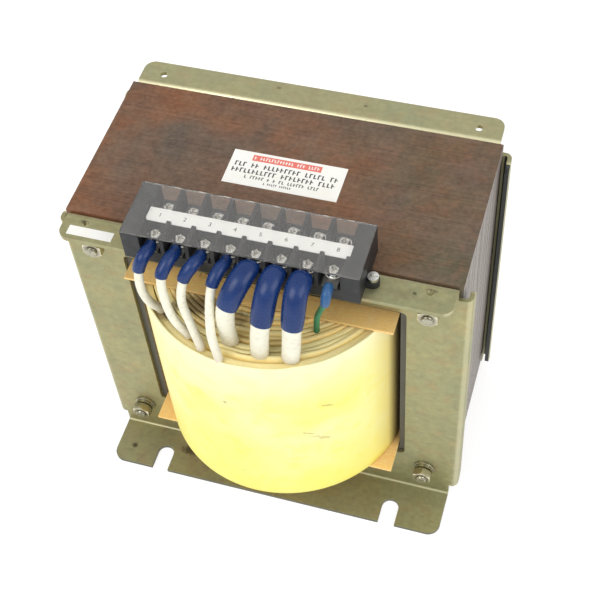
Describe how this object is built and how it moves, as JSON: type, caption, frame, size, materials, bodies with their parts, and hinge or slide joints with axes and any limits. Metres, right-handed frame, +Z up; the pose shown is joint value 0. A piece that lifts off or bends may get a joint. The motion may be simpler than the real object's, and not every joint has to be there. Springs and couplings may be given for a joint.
{
  "type": "single-phase dry control transformer",
  "caption": "Bench-size dry transformer: laminated shell core clamped between pressed zinc-plated frames, bulging wound coil, covered barrier terminal block and slotted feet.",
  "frame": {"origin": "on the ground under the middle of the core", "axes": "+Z up, +X to the right as seen from the terminal side, -Y towards the terminal side"},
  "size_m": [0.215, 0.1946, 0.221],
  "materials": {
    "core_steel": "brown varnish over lamination edges",
    "zinc_plate": "yellow chromate on zinc plate",
    "fastener": "zinc plated",
    "winding": "varnished layer paper over enamelled wire",
    "coil_wrap": "pale yellow insulating film",
    "pressboard": "tan pressboard",
    "moulding": "black moulded resin",
    "terminal_metal": "nickel plated",
    "label": "white paper",
    "clear_cover": "clear sheet",
    "cap_blue": "blue vinyl",
    "sleeve_white": "white sleeving",
    "sleeve_green": "green sleeving"
  },
  "bodies": {
    "root": {"laminated_core": "core_steel", "front_frame": "zinc_plate", "rear_frame": "zinc_plate", "clamp_bolts": "fastener", "clamp_nuts": "fastener", "spring_washers": "fastener", "front_washers": "fastener", "rear_washers": "fastener", "coil_former": "pressboard", "inner_winding": "winding", "winding_screen": "winding", "outer_winding": "winding", "outer_wrap": "coil_wrap", "top_cheek": "pressboard", "bottom_cheek": "pressboard", "terminal_block": "moulding", "terminal_plates": "terminal_metal", "front_terminal_screws": "terminal_metal", "rear_terminal_screws": "terminal_metal", "mounting_screws": "terminal_metal", "marking_strip": "label", "terminal_cover": "clear_cover", "ring_lugs": "terminal_metal", "lead_cap_1": "cap_blue", "lead_cap_2": "cap_blue", "lead_cap_3": "cap_blue", "lead_cap_4": "cap_blue", "lead_cap_5": "cap_blue", "lead_cap_6": "cap_blue", "lead_cap_7": "cap_blue", "lead_cap_8": "cap_blue", "lead_1": "sleeve_white", "lead_2": "sleeve_white", "lead_3": "sleeve_white", "lead_4": "sleeve_white", "lead_5": "sleeve_white", "lead_6": "sleeve_white", "lead_7": "sleeve_white", "lead_8": "sleeve_green"}
  },
  "joints": []
}
